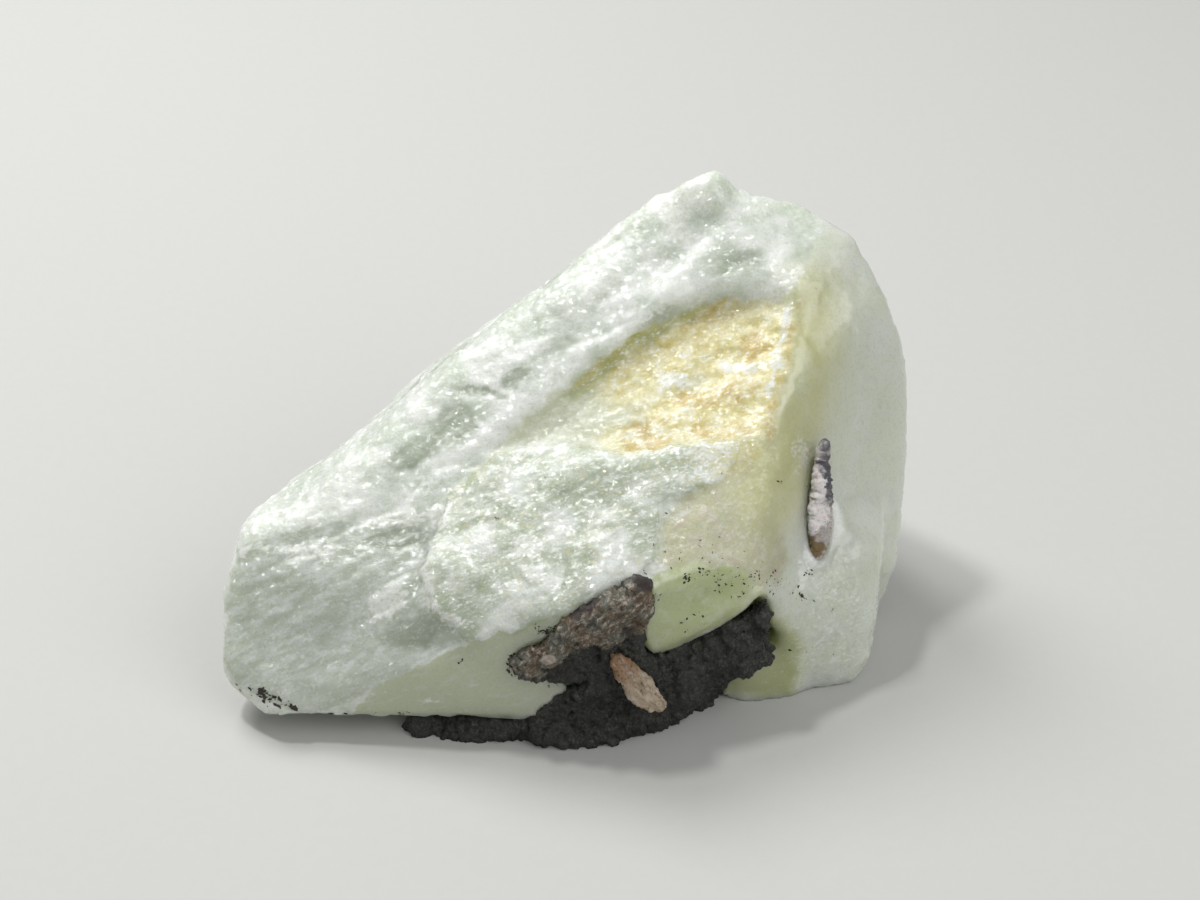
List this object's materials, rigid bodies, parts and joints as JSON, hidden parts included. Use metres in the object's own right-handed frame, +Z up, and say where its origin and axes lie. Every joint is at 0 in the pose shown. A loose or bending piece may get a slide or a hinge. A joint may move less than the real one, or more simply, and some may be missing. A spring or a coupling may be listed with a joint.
{
  "type": "raw datolite specimen",
  "caption": "Rough lump of pale green datolite, a broken wedge rising to the right, with dark host rock and a tan splinter caught under its front edge.",
  "frame": {"origin": "on the surface that the lump rests on, under the middle of its box", "axes": "+X along the lump from its thin left end to its high right end, +Y away from the front with the host rock, +Z up"},
  "size_m": [0.0416, 0.028, 0.0261],
  "materials": {
    "datolite": "broken, translucent pale green, frosted to glassy, stained yellow in a scoop",
    "host_rock": "dark, fine-grained, matt, with rusty rims",
    "tan_splinter": "tan, fibrous, satin",
    "pocket_crust": "grainy white and grey crust, matt"
  },
  "bodies": {
    "root": {"datolite_crystal": "datolite", "host_rock": "host_rock", "tan_splinter": "tan_splinter", "pocket_crust": "pocket_crust"}
  },
  "joints": []
}
